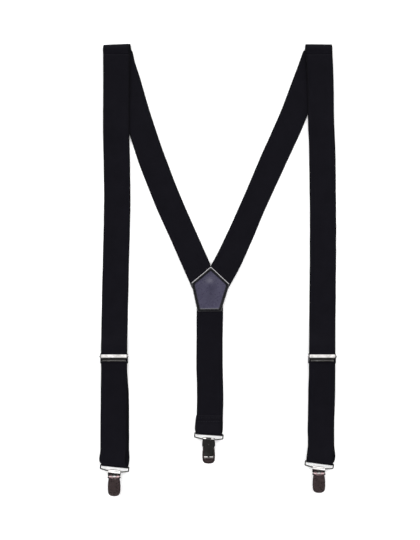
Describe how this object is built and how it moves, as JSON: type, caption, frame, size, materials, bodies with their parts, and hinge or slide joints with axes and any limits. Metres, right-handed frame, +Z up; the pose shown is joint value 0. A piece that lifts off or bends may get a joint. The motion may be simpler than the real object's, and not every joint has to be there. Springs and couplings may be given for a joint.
{
  "type": "suspenders",
  "caption": "Clip-on Y-back suspenders laid flat: wide webbing straps folded at the shoulders, leather back patch, lever adjusters, wire loops and hinged clips.",
  "frame": {"origin": "middle of the outline of the suspenders as laid, on the surface that they lie on", "axes": "+X across the wearer, towards the right-hand strap as seen; +Y from the clips to the shoulder folds; +Z up from the surface"},
  "size_m": [0.3188, 0.6079, 0.0084],
  "materials": {
    "webbing": "near-black ribbed elastic webbing",
    "thread": "matte polyester thread",
    "patch_leather": "smooth semi-gloss dark leather",
    "adjuster_nickel": "polished nickel plate",
    "clip_nickel": "polished nickel plate",
    "lever_nickel": "polished dark nickel plate",
    "wire_nickel": "polished nickel-plated wire",
    "pin_steel": "turned steel",
    "grip_pad": "matte ribbed rubber"
  },
  "bodies": {
    "back": {"back_strap_left": "webbing", "back_strap_right": "webbing", "back_strap_centre": "webbing", "centre_strap_stitching": "thread", "patch_outer_leather": "patch_leather", "patch_inner_leather": "patch_leather", "patch_stitching": "thread", "shoulder_fold_left": "webbing", "shoulder_fold_right": "webbing"},
    "front_strap_left": {"front_strap_left": "webbing"},
    "adjuster_left": {"adjuster_frame_left": "adjuster_nickel", "adjuster_pin_left": "pin_steel", "strap_end_left": "webbing", "strap_end_stitching_left": "thread"},
    "adjuster_lever_left": {"adjuster_lever_left": "adjuster_nickel"},
    "lower_strap_left": {"lower_strap_front_left": "webbing", "lower_strap_back_left": "webbing", "strap_turn_left": "webbing"},
    "front_strap_right": {"front_strap_right": "webbing"},
    "adjuster_right": {"adjuster_frame_right": "adjuster_nickel", "adjuster_pin_right": "pin_steel", "strap_end_right": "webbing", "strap_end_stitching_right": "thread"},
    "adjuster_lever_right": {"adjuster_lever_right": "adjuster_nickel"},
    "lower_strap_right": {"lower_strap_front_right": "webbing", "lower_strap_back_right": "webbing", "strap_turn_right": "webbing"},
    "loop_left": {"wire_loop_left": "wire_nickel"},
    "clip_left": {"clip_body_left": "clip_nickel", "pivot_pin_left": "pin_steel", "rear_jaw_pad_left": "grip_pad"},
    "clip_lever_left": {"clip_lever_left": "lever_nickel"},
    "front_jaw_left": {"front_jaw_left": "clip_nickel", "front_jaw_pad_left": "grip_pad"},
    "loop_right": {"wire_loop_right": "wire_nickel"},
    "clip_right": {"clip_body_right": "clip_nickel", "pivot_pin_right": "pin_steel", "rear_jaw_pad_right": "grip_pad"},
    "clip_lever_right": {"clip_lever_right": "lever_nickel"},
    "front_jaw_right": {"front_jaw_right": "clip_nickel", "front_jaw_pad_right": "grip_pad"},
    "loop_centre": {"wire_loop_centre": "wire_nickel"},
    "clip_centre": {"clip_body_centre": "clip_nickel", "pivot_pin_centre": "pin_steel", "rear_jaw_pad_centre": "grip_pad"},
    "clip_lever_centre": {"clip_lever_centre": "lever_nickel"},
    "front_jaw_centre": {"front_jaw_centre": "clip_nickel", "front_jaw_pad_centre": "grip_pad"}
  },
  "joints": [
    {"name": "shoulder_unfold_left", "type": "hinge", "parent": "back", "child": "front_strap_left", "pos_m": [-0.1362, 0.3013, 0.0026], "axis": [-0.9991, -0.0419, 0], "range_deg": [0, 180], "deforming": ["shoulder_fold_left"]},
    {"name": "adjuster_slide_left", "type": "slide", "parent": "front_strap_left", "child": "adjuster_left", "axis": [0, 1, 0], "range_m": [-0.12, 0.16], "deforming": ["front_strap_left"]},
    {"name": "strap_length_left", "type": "slide", "parent": "adjuster_left", "child": "lower_strap_left", "axis": [0, 1, 0], "range_m": [-0.08, 0.06], "deforming": ["lower_strap_front_left", "lower_strap_back_left"]},
    {"name": "adjuster_lever_lift_left", "type": "hinge", "parent": "adjuster_left", "child": "adjuster_lever_left", "pos_m": [-0.1396, -0.1155, 0.0066], "axis": [-1, 0, 0], "range_deg": [0, 50]},
    {"name": "shoulder_unfold_right", "type": "hinge", "parent": "back", "child": "front_strap_right", "pos_m": [0.1356, 0.3013, 0.0026], "axis": [-0.9999, 0.0105, 0], "range_deg": [0, 180], "deforming": ["shoulder_fold_right"]},
    {"name": "adjuster_slide_right", "type": "slide", "parent": "front_strap_right", "child": "adjuster_right", "axis": [0, 1, 0], "range_m": [-0.12, 0.16], "deforming": ["front_strap_right"]},
    {"name": "strap_length_right", "type": "slide", "parent": "adjuster_right", "child": "lower_strap_right", "axis": [0, 1, 0], "range_m": [-0.08, 0.06], "deforming": ["lower_strap_front_right", "lower_strap_back_right"]},
    {"name": "adjuster_lever_lift_right", "type": "hinge", "parent": "adjuster_right", "child": "adjuster_lever_right", "pos_m": [0.1398, -0.1155, 0.0066], "axis": [-1, 0, 0], "range_deg": [0, 50]},
    {"name": "loop_swing_left", "type": "hinge", "parent": "lower_strap_left", "child": "loop_left", "pos_m": [-0.1387, -0.2624, 0.0029], "axis": [-0.9945, 0.1045, 0], "range_deg": [-80, 80]},
    {"name": "clip_swing_left", "type": "hinge", "parent": "loop_left", "child": "clip_left", "pos_m": [-0.13949, -0.26996, 0.0029], "axis": [0.9945, -0.1045, 0], "range_deg": [-75, 75]},
    {"name": "clip_lever_lift_left", "type": "hinge", "parent": "clip_left", "child": "clip_lever_left", "pos_m": [-0.13949, -0.27746, 0.0035], "axis": [-1, 0, 0], "range_deg": [0, 105]},
    {"name": "jaw_open_left", "type": "hinge", "parent": "clip_left", "child": "front_jaw_left", "pos_m": [-0.13949, -0.27746, 0.0035], "axis": [-1, 0, 0], "range_deg": [0, 19]},
    {"name": "loop_swing_right", "type": "hinge", "parent": "lower_strap_right", "child": "loop_right", "pos_m": [0.1364, -0.258, 0.0029], "axis": [-0.9914, 0.1305, 0], "range_deg": [-80, 80]},
    {"name": "clip_swing_right", "type": "hinge", "parent": "loop_right", "child": "clip_right", "pos_m": [0.13541, -0.26554, 0.0029], "axis": [0.9914, -0.1305, 0], "range_deg": [-75, 75]},
    {"name": "clip_lever_lift_right", "type": "hinge", "parent": "clip_right", "child": "clip_lever_right", "pos_m": [0.13541, -0.27304, 0.0035], "axis": [-1, 0, 0], "range_deg": [0, 105]},
    {"name": "jaw_open_right", "type": "hinge", "parent": "clip_right", "child": "front_jaw_right", "pos_m": [0.13541, -0.27304, 0.0035], "axis": [-1, 0, 0], "range_deg": [0, 19]},
    {"name": "loop_swing_centre", "type": "hinge", "parent": "back", "child": "loop_centre", "pos_m": [-0.0121, -0.2194, 0.0029], "axis": [-0.9976, 0.0698, 0], "range_deg": [-80, 80]},
    {"name": "clip_swing_centre", "type": "hinge", "parent": "loop_centre", "child": "clip_centre", "pos_m": [-0.01263, -0.22698, 0.0029], "axis": [0.9976, -0.0698, 0], "range_deg": [-75, 75]},
    {"name": "clip_lever_lift_centre", "type": "hinge", "parent": "clip_centre", "child": "clip_lever_centre", "pos_m": [-0.01263, -0.23448, 0.0023], "axis": [1, 0, 0], "range_deg": [0, 105]},
    {"name": "jaw_open_centre", "type": "hinge", "parent": "clip_centre", "child": "front_jaw_centre", "pos_m": [-0.01263, -0.23448, 0.0023], "axis": [1, 0, 0], "range_deg": [0, 19]}
  ],
  "couplings": [
    {"joint": "strap_length_left", "follows": "adjuster_slide_left", "ratio": -0.5},
    {"joint": "strap_length_right", "follows": "adjuster_slide_right", "ratio": -0.5},
    {"joint": "jaw_open_left", "follows": "clip_lever_lift_left", "ratio": 0.18},
    {"joint": "jaw_open_right", "follows": "clip_lever_lift_right", "ratio": 0.18},
    {"joint": "jaw_open_centre", "follows": "clip_lever_lift_centre", "ratio": 0.18}
  ]
}
